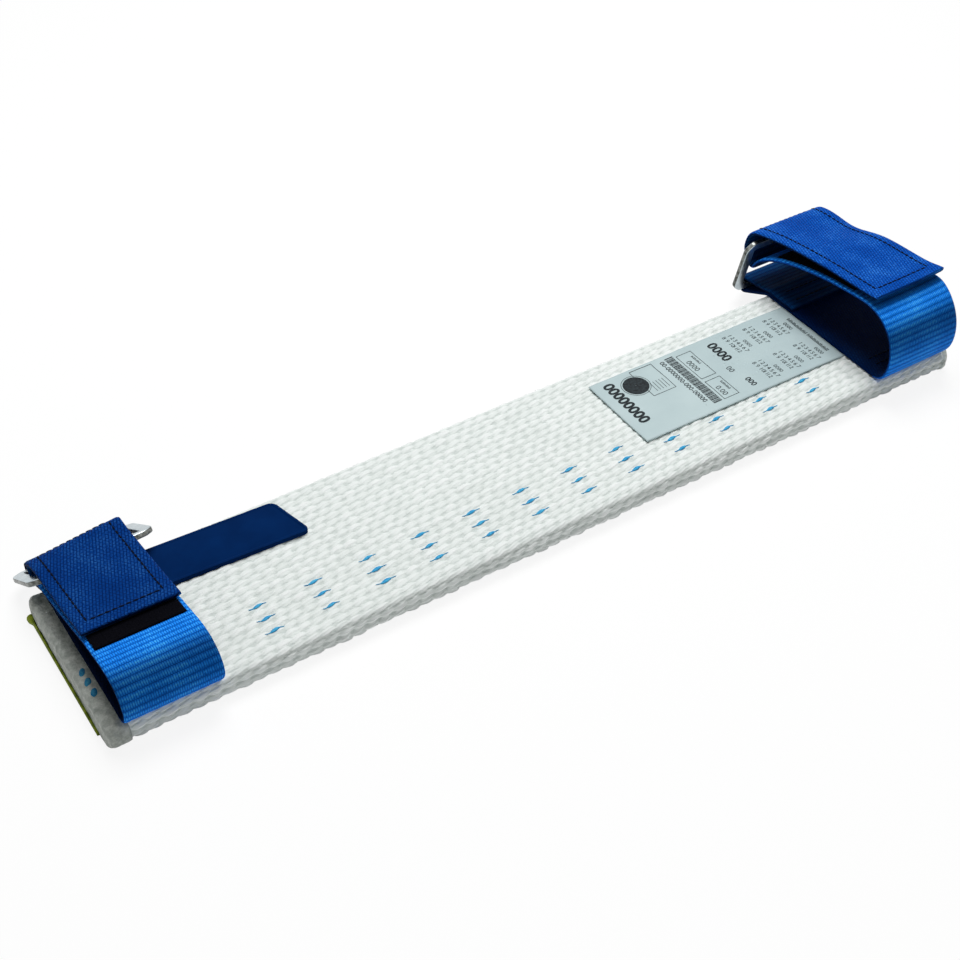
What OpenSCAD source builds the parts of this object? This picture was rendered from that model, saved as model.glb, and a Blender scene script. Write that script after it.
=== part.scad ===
// Cut protection pad for a lifting sling: a thick woven pad that two hook-and-loop straps hold
// along the sling. Each strap is sewn across the pad, arches over as an open loop, passes
// through a stamped ring and folds back onto itself.
// X runs along the pad, Y from its front edge to its back edge, and Z is up from its underside.

/* [Pad] */
// Length of the pad over its sealed ends
pad_l = 500; // [300:10:1000]
// Width of the woven pad
pad_w = 98; // [80:1:130]
// Thickness of the woven pad
pad_t = 14; // [11:0.5:16]
// Rounding of the pad's long edges
pad_edge_r = 5.5; // [3:0.5:5.5]
// Rounding of the pad's four corners, seen from above
pad_corner_r = 9; // [2:0.5:12]
// Thickness of the sealing resin
seal_t = 1; // [0.5:0.1:2]
// Gap between the sealing resin and the strap next to it
seal_gap = 0.3; // [0.2:0.1:1]

/* [Marks and labels] */
// Length of one float of the marker yarn
marker_l = 10; // [5:0.5:14]
// Width of one float of the marker yarn
marker_w = 2.2; // [1:0.1:4]
// How far a float stands over the weave
marker_h = 0.5; // [0.2:0.1:1]
// Spacing of the floats along the pad
marker_pitch = 29.4; // [20:0.2:50]
// Spacing of the three marker rows
marker_row = 9.2; // [5:0.1:10]
// Distance from the front edge to the first marker row
marker_inset = 14.2; // [8:0.1:20]
// Place of the middle float, from the pad's middle
marker_shift = -13; // [-15:0.5:15]
// Length of the moulded badge
badge_l = 78; // [30:1:120]
// Width of the moulded badge
badge_w = 27; // [10:0.5:40]
// Thickness of the moulded badge
badge_t = 2.2; // [1:0.1:3]
// Rounding of the badge's corners
badge_r = 3.5; // [1:0.5:5]
// How far the badge's free end slants
badge_slant = 8; // [0:0.5:12]
// Distance from the pad's back edge to the badge
badge_inset = 6; // [4:0.5:20]
// Length of the inspection label
label_l = 135; // [60:1:160]
// Width of the inspection label
label_w = 52.5; // [30:0.5:70]
// Thickness of the inspection label
label_t = 0.5; // [0.3:0.1:1]
// Distance from the pad's back edge to the label
label_inset = 17; // [10:0.5:20]
// Length of the coloured tape along the left end
end_tape_l = 80; // [40:1:86]
// Thickness of the coloured tape
end_tape_t = 1.2; // [0.6:0.1:2]
// Height of the coloured tape at its front end
end_tape_low = 1.2; // [0.6:0.1:2]
// Radius of the fold at the back end of the coloured tape
end_tape_r = 2.4; // [1.4:0.1:3]
// Gap under the coloured tape
ground_gap = 0.2; // [0.1:0.1:0.6]

/* [Strap webbing] */
// Width of the strap webbing
strap_w = 48; // [30:1:60]
// Thickness of the strap webbing
strap_t = 2.2; // [1.4:0.1:2.6]
// Width of the hook tape and of the pile tape
tape_w = 44; // [24:1:56]
// Thickness of the hook tape and of the pile tape
tape_t = 1.1; // [0.6:0.1:1.6]
// Gap left between the hooks and the pile
tape_gap = 0.3; // [0.2:0.1:0.6]
// Length of the return ply that is sewn down behind each ring
return_l = 20; // [10:1:30]
// Length of one stitch
stitch_l = 3; // [2:0.2:4]
// Distance from one stitch to the next
stitch_pitch = 4; // [3.5:0.1:6]
// Thickness of the thread
thread_t = 0.6; // [0.3:0.1:1]
// Distance of the seam from the webbing's edges
seam_inset = 5; // [3:0.5:8]

/* [Rings] */
// Thickness of the stamped ring
ring_t = 3; // [2:0.1:4]
// Width of the ring's two long bars
ring_bar = 5; // [4:0.1:7]
// Width of the ring at its two ends
ring_end = 6; // [5:0.1:12]
// Distance between the middles of the long bars
ring_pitch = 33; // [24:0.5:38]
// Clearance of the strap in the ring's slot at each side
slot_play = 2.2; // [1:0.1:3]
// Clearance of a fold round a ring's bar
fold_gap = 0.3; // [0.2:0.05:0.6]
// How far the ring's corners are cut along its length
ring_cut_l = 4.5; // [3:0.5:6]
// How far the ring's corners are cut along its height
ring_cut_h = 4.5; // [3:0.5:12]

/* [Left strap] */
// Distance from the pad's left end to the left strap
left_inset = 8.5; // [4:0.5:40]
// Height of the left loop over the pad
left_loop_h = 22.5; // [18:0.5:40]
// How far the left loop overhangs the pad's front edge
left_reach = 3; // [0:0.5:6]
// Distance from the pad's back edge to the left ring's lower bar
left_ring_out = 20.8; // [15:0.1:24]
// Height of the left ring's fold over the ground
left_ring_lift = 2.5; // [0.4:0.1:6]
// Lean of the left ring from upright
left_lean = 55; // [10:1:60]
// How far the left fold hangs loose behind the ring's upper bar
left_fold_slack = 8.8; // [0:0.1:12]
// Distance from the pad's front edge to the end of the left flap
left_flap_end = 39; // [20:1:50]
// How far the left flap's end lies below the flat stack of strap and tapes
left_flap_drop = 3.7; // [0:0.1:4]
// Distance from the pad's front edge back to the crest of the left loop
left_crest_back = 22; // [16:0.5:30]
// Length of the left run's curve handle at the crest
left_run_handle = 24; // [12:0.5:32]
// Length of the left run's curve handle at the ring
left_dive_handle = 16; // [12:0.5:32]
// Length of the left flap's curve handles
left_flap_handle = 26; // [12:0.5:32]

/* [Right strap] */
// Distance from the pad's right end to the right strap
right_inset = 5; // [4:0.5:40]
// Height of the right loop over the pad
right_loop_h = 41.5; // [30:0.5:50]
// How far the right loop overhangs the pad's front edge
right_reach = 3.5; // [0:0.5:6]
// Distance from the pad's back edge to the right ring's lower bar
right_ring_out = 17; // [14:0.1:24]
// Height of the right ring's fold over the ground
right_ring_lift = 4.2; // [3:0.1:12]
// Lean of the right ring from upright
right_lean = 13; // [6:1:30]
// How far the right fold hangs loose behind the ring's upper bar
right_fold_slack = 1; // [0:0.1:4]
// Distance from the pad's front edge to the end of the right flap
right_flap_end = 14; // [10:1:50]
// Height of the right flap's end over the flat stack of strap and tapes
right_flap_lift = 2; // [0:0.1:4]
// Distance from the pad's front edge back to the crest of the right loop
right_crest_back = 25; // [16:0.5:30]
// Length of the right run's curve handle at the crest
right_run_handle = 28; // [12:0.5:32]
// Length of the right run's curve handle at the ring
right_dive_handle = 20; // [12:0.5:32]
// Length of the right flap's curve handles
right_flap_handle = 28; // [12:0.5:32]

/* [Hidden] */
$fn = 48;

webbing_blue = [0.06, 0.30, 0.64];
thread_blue = [0.02, 0.08, 0.25];
tape_black = [0.03, 0.03, 0.04];
steel_grey = [0.78, 0.79, 0.80];

LEFT = 0;
RIGHT = 1;
inset = [left_inset, right_inset];
strap_x = [inset[LEFT] + strap_w / 2 - pad_l / 2, pad_l / 2 - inset[RIGHT] - strap_w / 2];
loop_h = [left_loop_h, right_loop_h];
reach = [left_reach, right_reach];
ring_out = [left_ring_out, right_ring_out];
ring_lift = [left_ring_lift, right_ring_lift];
lean = [left_lean, right_lean];
fold_slack = [left_fold_slack, right_fold_slack];
flap_end = [left_flap_end, right_flap_end];
flap_lift = [-left_flap_drop, right_flap_lift];
crest_back = [left_crest_back, right_crest_back];
run_handle = [left_run_handle, right_run_handle];
dive_handle = [left_dive_handle, right_dive_handle];
flap_handle = [left_flap_handle, right_flap_handle];

// Headings of the strap, in degrees from level: the crest of the loop, where the run meets the
// ring, where the flap leaves the ring, and the end of the flap
crest_slope = [-13, -6];
run_dive = [-2, -34];
flap_leave = [6, 17];
flap_tip = [8, 6];
// Where the strap leaves the pad, behind the front edge
base_front = 6;
// Shares of the run and of the flap that the tapes cover, counted in steps of their curves
steps = 24;
pile_from = [2, 2];
pile_to = [18, 17];
hook_from = [8, 9];
hook_to = [23, 23];
stitch_from = 7;
// Longest stitch as a share of one step of the curve
stitch_share = 0.9;
// Facets of the large circles that a float of the marker yarn is cut from
bow_facets = 480;

bar_reach = norm([ring_bar, ring_t]) / 2;
fold_r = bar_reach + fold_gap;
eye_r = fold_r + strap_t;
wrap_r = fold_r + strap_t / 2;
back_y = pad_w / 2;
front_y = -pad_w / 2;
flat_y = back_y - pad_edge_r;
base_y = front_y + base_front;
base_z = pad_t + strap_t / 2;
slot_l = strap_w + 2 * slot_play;
ring_l = slot_l + 2 * ring_end;
slot_h = ring_pitch - ring_bar;

// Places of the ring's two bars, as [Y, Z]
function lower_bar(s) = [back_y + ring_out[s], eye_r + ring_lift[s]];
function upper_bar(s) = lower_bar(s) + ring_pitch * [-sin(lean[s]), cos(lean[s])];
// Middle of the fold round the upper bar, which hangs loose between its two plies
function fold_middle(s) = upper_bar(s) + fold_slack[s] * toward((run_dive[s] - flap_leave[s]) / 2);

// Curves in the YZ plane
function toward(angle) = [cos(angle), sin(angle)];
function bezier(a, b, c, d) = [for (i = [0:steps]) let (t = i / steps, u = 1 - t)
  u * u * u * a + 3 * u * u * t * b + 3 * u * t * t * c + t * t * t * d];
function arc(centre, r, from, to) = [for (i = [0:steps])
  centre + r * toward(from + (to - from) * i / steps)];
function heading(p, i) = let (a = p[max(i - 1, 0)], b = p[min(i + 1, len(p) - 1)])
  (b - a) / norm(b - a);
function beside(p, d, start, end) = [for (i = [0:len(p) - 1])
  let (h = i == 0 ? start : i == len(p) - 1 ? end : heading(p, i)) p[i] + d * [-h[1], h[0]]];
function part_of(p, from, to) = [for (i = [from:to]) p[i]];
function flipped(p) = [for (i = [len(p) - 1:-1:0]) p[i]];

// The strap's middle line: up round the front, back along the run, and forward along the flap
function crest(s) = [front_y + crest_back[s], pad_t + loop_h[s] - strap_t / 2];
function front_line(s) = let (
    a = [base_y, base_z], d = crest(s),
    outmost = front_y - reach[s] + strap_t / 2,
    y = (8 * outmost - a[0] - d[0]) / 6)
  bezier(a, [y, base_z], [y, d[1] + (y - d[0]) * tan(crest_slope[s])], d);
function run_line(s) = let (
    a = crest(s), d = fold_middle(s) + wrap_r * toward(run_dive[s] - 90))
  bezier(a, a + run_handle[s] * toward(crest_slope[s]), d - dive_handle[s] * toward(run_dive[s]), d);
function flap_line(s) = let (
    a = fold_middle(s) + wrap_r * toward(90 - flap_leave[s]),
    d = [front_y + flap_end[s], pad_t + loop_h[s] + 2 * tape_t + tape_gap + strap_t / 2 + flap_lift[s]])
  bezier(a, a + flap_handle[s] * toward(180 - flap_leave[s]), d + flap_handle[s] * toward(-flap_tip[s]), d);
function front_side(s, d) = beside(front_line(s), d, [-1, 0], toward(crest_slope[s]));
function run_side(s, d) = beside(run_line(s), d, toward(crest_slope[s]), toward(run_dive[s]));
function flap_side(s, d) = beside(flap_line(s), d, toward(180 - flap_leave[s]), toward(180 - flap_tip[s]));

// Draws a YZ outline across a width in X, about the middle of one strap
module across(s, w) {
  translate([strap_x[s] - w / 2, 0, 0]) rotate([90, 0, 90]) linear_extrude(w) children();
}

// A strip between two lines that run side by side
module strip(s, w, inner, outer) {
  across(s, w) polygon(concat(inner, flipped(outer)));
}

// A rectangle with round corners, from its low corner
module round_rect(w, h, r) {
  translate([r, 0]) square([w - 2 * r, h]);
  translate([0, r]) square([w, h - 2 * r]);
  for (x = [r, w - r], y = [r, h - r]) translate([x, y]) circle(r);
}

// The pad's slab with its edges and corners rounded, grown by a skin on all sides
module slab(skin) {
  w = pad_w + 2 * skin;
  l = pad_l - 2 * seal_t + 2 * skin;
  h = pad_t + 2 * skin;
  intersection() {
    translate([-l / 2, -w / 2, -skin]) rotate([90, 0, 90]) linear_extrude(l)
      round_rect(w, h, pad_edge_r + skin);
    translate([-l / 2, -w / 2, -skin]) linear_extrude(h)
      round_rect(l, w, pad_corner_r + skin);
  }
}

module pad_webbing() { color([0.92, 0.93, 0.93]) slab(0); }

// Resin shell over one end as far as the strap, open underneath where the pad lies flat
module end_seal(s) {
  side = s == LEFT ? -1 : 1;
  l = inset[s] - seal_gap;
  color([0.66, 0.70, 0.69]) difference() {
    intersection() {
      slab(seal_t);
      translate([side * (pad_l - l) / 2, 0, pad_t / 2 + seal_t])
        cube([l, 2 * pad_w, pad_t + 2 * seal_t], center = true);
    }
    slab(0);
  }
}

// Coloured tape against the left end, folded over at its back end
module end_tape() {
  half = end_tape_l / 2;
  color([0.50, 0.56, 0.08])
    translate([-pad_l / 2 - end_tape_t, 0, ground_gap]) rotate([90, 0, 90]) linear_extrude(end_tape_t) {
      polygon([[-half, 0], [half, 0], [half, 2 * end_tape_r], [-half, end_tape_low]]);
      translate([half, end_tape_r]) circle(end_tape_r);
    }
}

module marker_yarns() {
  bow = (pow(marker_l, 2) + pow(marker_w, 2)) / (4 * marker_w);
  columns = ceil(pad_l / marker_pitch);
  room = [strap_x[LEFT] + strap_w / 2 + marker_l / 2, strap_x[RIGHT] - strap_w / 2 - marker_l / 2];
  color([0.16, 0.58, 0.82])
    for (i = [-columns:columns], row = [0:2]) {
      x = i * marker_pitch + marker_shift;
      y = front_y + marker_inset + row * marker_row;
      between_straps = x > room[LEFT] && x < room[RIGHT];
      beside_label = x + marker_l / 2 < label_x || y + marker_w / 2 < label_y;
      if (between_straps && beside_label)
        translate([x, y, pad_t]) linear_extrude(marker_h) intersection() {
          translate([0, bow - marker_w / 2]) circle(bow, $fn = bow_facets);
          translate([0, marker_w / 2 - bow]) circle(bow, $fn = bow_facets);
        }
    }
}

// The badge starts at the left strap's edge and the label ends at the right strap's edge
badge_x = strap_x[LEFT] + strap_w / 2;
label_x = strap_x[RIGHT] - strap_w / 2 - label_l;
label_y = back_y - label_inset - label_w;

module badge() {
  corners = [[0, 0], [badge_l, 0], [badge_l - badge_slant, badge_w], [0, badge_w]];
  color([0.02, 0.14, 0.36])
    translate([badge_x, back_y - badge_inset - badge_w, pad_t]) linear_extrude(badge_t)
      offset(badge_r) offset(delta = -badge_r) polygon(corners);
}

module inspection_label() {
  color([0.75, 0.82, 0.84]) translate([label_x, label_y, pad_t]) cube([label_l, label_w, label_t]);
}

module base_strap(s) {
  color(webbing_blue) translate([strap_x[s] - strap_w / 2, base_y, pad_t])
    cube([strap_w, flat_y - base_y, strap_t]);
}

// The strap's end goes over the pad's back edge, round the ring's lower bar and back on top
module ring_keeper(s) {
  bar = lower_bar(s);
  edge = [flat_y, pad_t - pad_edge_r];
  edge_r = pad_edge_r + strap_t / 2;
  span = bar - edge;
  droop = atan2(span[1], span[0]) - asin((edge_r + wrap_r) / norm(span));
  lower = concat(arc(edge, edge_r, 90, 90 + droop), [bar + wrap_r * toward(droop - 90)]);
  upper = concat([[flat_y - return_l, base_z]], lower);
  low_side = beside(lower, -strap_t / 2, [1, 0], toward(droop));
  top_side = beside(upper, strap_t * 3 / 2, [1, 0], toward(droop));
  throat = top_side[len(top_side) - 2];
  drop = bar - throat;
  tangent = atan2(drop[1], drop[0]) + 180 - acos(eye_r / norm(drop));
  seat_z = pad_t + strap_t;
  color(webbing_blue) across(s, strap_w) difference() {
    polygon(concat([[flat_y - return_l, seat_z], [flat_y, seat_z]],
      low_side,
      part_of(arc(bar, eye_r, droop - 90, tangent), 1, steps),
      flipped(part_of(top_side, 0, len(top_side) - 2))));
    translate(bar) circle(fold_r);
  }
}

// A row of stitches along X at one place across the strap
module stitch_row(s, length) {
  count = floor(length / stitch_pitch);
  for (i = [0:count - 1])
    translate([strap_x[s] + (i - (count - 1) / 2) * stitch_pitch, 0, 0])
      translate([-stitch_l / 2, -thread_t / 2, 0]) cube([stitch_l, thread_t, thread_t / 2]);
}

// Two seams across the return ply and two across the front of the base
module base_stitches(s) {
  color(thread_blue) {
    for (y = [flat_y - return_l + seam_inset, flat_y - seam_inset])
      translate([0, y, pad_t + 2 * strap_t]) stitch_row(s, strap_w - 2 * seam_inset);
    for (y = [base_y + seam_inset, base_y + 2 * seam_inset])
      translate([0, y, pad_t + strap_t]) stitch_row(s, strap_w - 2 * seam_inset);
  }
}

module front_bend(s) {
  color(webbing_blue) strip(s, strap_w, front_side(s, -strap_t / 2), front_side(s, strap_t / 2));
}

module upper_run(s) {
  color(webbing_blue) strip(s, strap_w, run_side(s, -strap_t / 2), run_side(s, strap_t / 2));
}

module pile_tape(s) {
  color(tape_black) strip(s, tape_w,
    part_of(run_side(s, strap_t / 2), pile_from[s], pile_to[s]),
    part_of(run_side(s, strap_t / 2 + tape_t), pile_from[s], pile_to[s]));
}

// The bend round the ring's upper bar, from the run to the flap
module fold(s) {
  middle = fold_middle(s);
  from = run_dive[s] - 90;
  sweep = 90 - flap_leave[s] - from;
  color(webbing_blue) translate([strap_x[s] - strap_w / 2, middle[0], middle[1]]) rotate([90, 0, 90])
    rotate(from) rotate_extrude(angle = sweep) translate([fold_r, 0]) square([strap_t, strap_w]);
}

module flap(s) {
  color(webbing_blue) strip(s, strap_w, flap_side(s, -strap_t / 2), flap_side(s, strap_t / 2));
}

module hook_tape(s) {
  color(tape_black) strip(s, tape_w,
    part_of(flap_side(s, strap_t / 2), hook_from[s], hook_to[s]),
    part_of(flap_side(s, strap_t / 2 + tape_t), hook_from[s], hook_to[s]));
}

// A seam round the flap that holds the hook tape, with each stitch laid along the flap's slope
module flap_stitches(s) {
  top = flap_side(s, -strap_t / 2);
  half = strap_w / 2 - seam_inset;
  color(thread_blue) {
    for (i = [stitch_from:steps - 2]) {
      middle = (top[i] + top[i + 1]) / 2;
      h = top[i] - top[i + 1];
      room = min(stitch_l, stitch_share * norm(h));
      for (side = [-1, 1])
        translate([strap_x[s] + side * half, middle[0], middle[1]]) rotate([atan2(h[1], h[0]), 0, 0])
          translate([-thread_t / 2, -room / 2, 0]) cube([thread_t, room, thread_t / 2]);
    }
    for (i = [stitch_from, steps - 2]) {
      middle = (top[i] + top[i + 1]) / 2;
      h = top[i] - top[i + 1];
      translate([0, middle[0], middle[1]]) rotate([atan2(h[1], h[0]), 0, 0])
        stitch_row(s, 2 * half - 2 * thread_t - stitch_l / 2);
    }
  }
}

// Flat plate with cut corners and one long slot
module ring(s) {
  bar = lower_bar(s);
  h = ring_pitch + ring_bar;
  l = ring_l / 2;
  color(steel_grey) translate([strap_x[s], bar[0], bar[1]]) rotate([90 + lean[s], 0, 0])
    translate([0, -ring_bar / 2, -ring_t / 2]) linear_extrude(ring_t) difference() {
      polygon([[ring_cut_l - l, 0], [l - ring_cut_l, 0], [l, ring_cut_h], [l, h - ring_cut_h],
        [l - ring_cut_l, h], [ring_cut_l - l, h], [-l, h - ring_cut_h], [-l, ring_cut_h]]);
      translate([-slot_l / 2, ring_bar]) square([slot_l, slot_h]);
    }
}

pad_webbing();
end_seal(LEFT);  // left_end_seal
end_seal(RIGHT);  // right_end_seal
end_tape();
marker_yarns();
badge();
inspection_label();
base_strap(LEFT);  // left_base_strap
ring_keeper(LEFT);  // left_ring_keeper
base_stitches(LEFT);  // left_base_stitches
front_bend(LEFT);  // left_front_bend
upper_run(LEFT);  // left_upper_run
pile_tape(LEFT);  // left_pile_tape
fold(LEFT);  // left_fold
flap(LEFT);  // left_flap
hook_tape(LEFT);  // left_hook_tape
flap_stitches(LEFT);  // left_flap_stitches
ring(LEFT);  // left_ring
base_strap(RIGHT);  // right_base_strap
ring_keeper(RIGHT);  // right_ring_keeper
base_stitches(RIGHT);  // right_base_stitches
front_bend(RIGHT);  // right_front_bend
upper_run(RIGHT);  // right_upper_run
pile_tape(RIGHT);  // right_pile_tape
fold(RIGHT);  // right_fold
flap(RIGHT);  // right_flap
hook_tape(RIGHT);  // right_hook_tape
flap_stitches(RIGHT);  // right_flap_stitches
ring(RIGHT);  // right_ring
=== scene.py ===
# %% [markdown]
# # A cut-protection pad for a lifting sling
# The pad is a thick white woven band. Two blue straps arch over it, pass through flat steel rings
# and close on themselves with hook-and-loop tape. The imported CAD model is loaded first, and every
# piece below is made in the same place and in metres, so nothing has to be fitted afterwards.

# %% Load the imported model
import math

import bmesh
import bpy
from mathutils import Matrix, Vector, noise


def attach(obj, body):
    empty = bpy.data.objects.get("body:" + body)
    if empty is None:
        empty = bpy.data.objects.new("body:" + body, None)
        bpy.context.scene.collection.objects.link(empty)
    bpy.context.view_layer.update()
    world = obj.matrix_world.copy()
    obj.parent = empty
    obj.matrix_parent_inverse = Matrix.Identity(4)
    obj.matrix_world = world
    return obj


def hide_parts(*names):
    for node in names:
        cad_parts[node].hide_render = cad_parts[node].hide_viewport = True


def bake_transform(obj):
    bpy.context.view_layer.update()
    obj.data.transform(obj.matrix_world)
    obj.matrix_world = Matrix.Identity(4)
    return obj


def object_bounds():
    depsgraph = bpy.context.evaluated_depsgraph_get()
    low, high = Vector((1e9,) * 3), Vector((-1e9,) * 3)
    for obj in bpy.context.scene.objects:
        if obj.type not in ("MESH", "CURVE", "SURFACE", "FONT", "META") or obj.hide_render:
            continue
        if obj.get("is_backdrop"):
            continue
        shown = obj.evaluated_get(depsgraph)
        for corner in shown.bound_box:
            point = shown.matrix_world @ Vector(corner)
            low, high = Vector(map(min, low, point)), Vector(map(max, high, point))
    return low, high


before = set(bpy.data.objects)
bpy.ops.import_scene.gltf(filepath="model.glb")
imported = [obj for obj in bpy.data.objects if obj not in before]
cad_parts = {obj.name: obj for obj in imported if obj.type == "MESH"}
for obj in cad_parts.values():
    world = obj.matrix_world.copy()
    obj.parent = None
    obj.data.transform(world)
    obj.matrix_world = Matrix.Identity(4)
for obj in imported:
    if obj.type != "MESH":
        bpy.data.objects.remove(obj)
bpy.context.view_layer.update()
MM = 0.001
print("CAD nodes:", len(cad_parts))

# %% [markdown]
# ## Camera
# A camera is a turn and a place. The photograph was taken from the front left, well above the
# pad, so the camera looks along a direction given by two angles, and steps back along it.

# %% Camera
PAN, LIFT, STAND_OFF, LENS = -23.3, 1.7, 841, 61.1
azimuth, elevation = math.radians(-32.5), math.radians(42.5)
back = Vector((math.sin(azimuth) * math.cos(elevation),
               -math.cos(azimuth) * math.cos(elevation), math.sin(elevation)))
right = Vector((0, 0, 1)).cross(back).normalized()
up = back.cross(right)
camera_data = bpy.data.cameras.new("photo_camera")
camera_data.sensor_width = 36
camera_data.lens = LENS
camera_data.clip_start, camera_data.clip_end = 0.01, 20
camera = bpy.data.objects.new("photo_camera", camera_data)
bpy.context.collection.objects.link(camera)
place = (right * PAN + up * LIFT + back * STAND_OFF) * MM
camera.matrix_world = Matrix.Translation(place) @ Matrix((right, up, back)).transposed().to_4x4()
bpy.context.scene.camera = camera
print("camera at", tuple(round(c, 3) for c in place))

# %% [markdown]
# ## Helpers for materials
# Colours are written as the sRGB hex values that a picture editor shows, and Blender works in
# linear light, so one function converts them. Another small function adds a node, sets its
# values and makes its links, so that each material below reads as a list of what feeds what.

# %% Colour and node helpers


def linear(code):
    """The linear colour, with alpha, of an sRGB hex code."""
    channels = [int(code[i:i + 2], 16) / 255 for i in (1, 3, 5)]
    return *(c / 12.92 if c <= 0.04045 else ((c + 0.055) / 1.055) ** 2.4 for c in channels), 1


def grain(size):
    """The scale of a noise whose spots are so many millimetres wide."""
    return 1 / (size * MM)


def feed(tree, node, **inputs):
    """Set or link inputs of a node, each named by its label, or by its number after a _."""
    for name, value in inputs.items():
        socket = node.inputs[int(name[1:]) if name[1:].isdigit() else name.replace("_", " ")]
        if isinstance(value, bpy.types.NodeSocket):
            tree.links.new(value, socket)
        else:
            socket.default_value = value


def add(tree, kind, settings=None, **inputs):
    """A new node. The stops of a colour ramp are given as positions and hex codes."""
    made = tree.nodes.new(kind)
    for name, value in (settings or {}).items():
        if name != "stops":
            setattr(made, name, value)
            continue
        elements = made.color_ramp.elements
        while len(elements) < len(value):
            elements.new(0.5)
        for element, (position, code) in zip(elements, value):
            element.position = position
            element.color = linear(code)
    feed(tree, made, **inputs)
    return made


def material(name, **surface):
    made = bpy.data.materials.new(name)
    made.use_nodes = True
    shader = made.node_tree.nodes["Principled BSDF"]
    feed(made.node_tree, shader, **surface)
    return made, made.node_tree, shader


print("middle grey #808080 in linear light:", round(linear("#808080")[0], 3))

# %% [markdown]
# ## Helper for woven pieces
# Webbing, tape and the pad are all one flat strip that is bent into a shape. So each starts as a
# grid whose two directions are the length and the girth of the strip. The grid keeps its own UV
# map in real metres, which is what the weave patterns read, and a function then puts each of its
# points in place. The long seam is merged, and open ends are filled.

# %% Strips from a grid


def keep(name, bm, surface, sharp=None, laid=False):
    """The finished object of a bmesh. A laid one is flat print, whose faces already point up."""
    if not laid:
        bmesh.ops.recalc_face_normals(bm, faces=bm.faces)
    mesh = bpy.data.meshes.new(name)
    bm.to_mesh(mesh)
    bm.free()
    if not laid:
        mesh.shade_smooth()
    if sharp is not None:
        mesh.set_sharp_from_angle(angle=math.radians(sharp))
    mesh.materials.append(surface)
    made = bpy.data.objects.new(name, mesh)
    bpy.context.collection.objects.link(made)
    return made


def strip(length, girth, steps, sides, put, start=0.0, values=()):
    """A bent strip. put gives the point at u mm along and v mm round, and then the values."""
    bm = bmesh.new()
    uv = bm.loops.layers.uv.new("weave")
    layers = [bm.verts.layers.float.new(v) for v in values]
    bmesh.ops.create_grid(bm, x_segments=steps, y_segments=sides, size=0.5, calc_uvs=True)
    for face in bm.faces:
        for loop in face.loops:
            corner = loop.vert.co
            loop[uv].uv = ((start + (corner.x + 0.5) * length) * MM,
                           (corner.y + 0.5) * girth * MM)
    for vert in bm.verts:
        point, *numbers = put((vert.co.x + 0.5) * length, (vert.co.y + 0.5) * girth)
        vert.co = Vector(point) * MM
        for layer, number in zip(layers, numbers):
            vert[layer] = number
    bmesh.ops.remove_doubles(bm, verts=bm.verts, dist=1e-7)
    open_edges = [e for e in bm.edges if e.is_boundary]
    if open_edges:
        bmesh.ops.holes_fill(bm, edges=open_edges)
    return bm


print("strips are drawn in units of", MM, "m")

# %% [markdown]
# ## Pad yarn
# The pad is woven from thick white high-strength yarn. Each float of yarn is a soft bump with
# fine filaments along it, bright on top and greyer where it dives, which is painted shade. The
# bumps are real mesh, and the filaments are a bump texture. Real ones are finer, and these are
# drawn 1.7 mm apart so that they still show. The depth of each point in the weave is kept on the
# mesh, and the colour follows it.

# %% White woven yarn
FILAMENT = 1.7
WAVE = 0.314  # metres between the bands of a wave texture at scale 1
# The eye sees soft, dull white, with painted shade in grey between the yarns.
pad_yarn, tree, shader = material("white_woven_yarn", Roughness=0.75, Specular_IOR_Level=0.2)
coordinates = add(tree, "ShaderNodeUVMap", {"uv_map": "weave"}).outputs["UV"]
depth = add(tree, "ShaderNodeAttribute", {"attribute_name": "depth"}).outputs["Fac"]
cloud = add(tree, "ShaderNodeTexNoise", Vector=coordinates, Scale=grain(3.846),
            Detail=4.0).outputs["Fac"]
slanted = add(tree, "ShaderNodeMapping", Vector=coordinates, Rotation=(0, 0, 0.22)).outputs[0]
filament = add(tree, "ShaderNodeTexWave", {"bands_direction": "Y"}, Vector=slanted,
               Scale=WAVE * grain(FILAMENT), Distortion=3.0, Detail=2.0,
               Detail_Scale=1.5).outputs["Fac"]
fuzz = add(tree, "ShaderNodeTexNoise", Vector=coordinates, Scale=grain(0.7143)).outputs["Fac"]
weigh = {"operation": "MULTIPLY_ADD"}
streak = add(tree, "ShaderNodeMath", weigh, _0=filament, _1=-0.15, _2=depth).outputs[0]
shade = add(tree, "ShaderNodeMath", weigh, _0=cloud, _1=0.4, _2=streak).outputs[0]
# Deeper in the weave the ramp turns greyer: painted shade in the grooves.
whites = {"stops": [(0.05, "#eff2f1"), (0.45, "#e9eeec"), (0.80, "#dee4e1"), (1.0, "#cdd4d1")]}
tint = add(tree, "ShaderNodeValToRGB", whites, Fac=shade).outputs["Color"]
hairs = add(tree, "ShaderNodeMath", {"operation": "ADD"}, _0=filament, _1=fuzz).outputs[0]
bump = add(tree, "ShaderNodeBump", Strength=0.5, Distance=0.3 * MM, Height=hairs).outputs["Normal"]
feed(tree, shader, Base_Color=tint, Normal=bump)
print("made", pad_yarn.name)

# %% [markdown]
# ## Section of the pad
# Cut across, the pad is a flat slab with round edges. A bevelled box would have that shape too,
# but the weave has to know where it is, so the section is walked: so many millimetres round from
# the middle of the underside give a place, and the way out of the pad there.

# %% Section of the pad
PAD_L, PAD_W, PAD_T, EDGE_R = 500.0, 98.0, 14.0, 5.5
FLAT, SIDE, TURN = PAD_W - 2 * EDGE_R, PAD_T - 2 * EDGE_R, EDGE_R * math.pi / 2
GIRTH = 2 * FLAT + 2 * SIDE + 4 * TURN
PLAN_R = 4.0  # radius of the corners, seen from above


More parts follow.
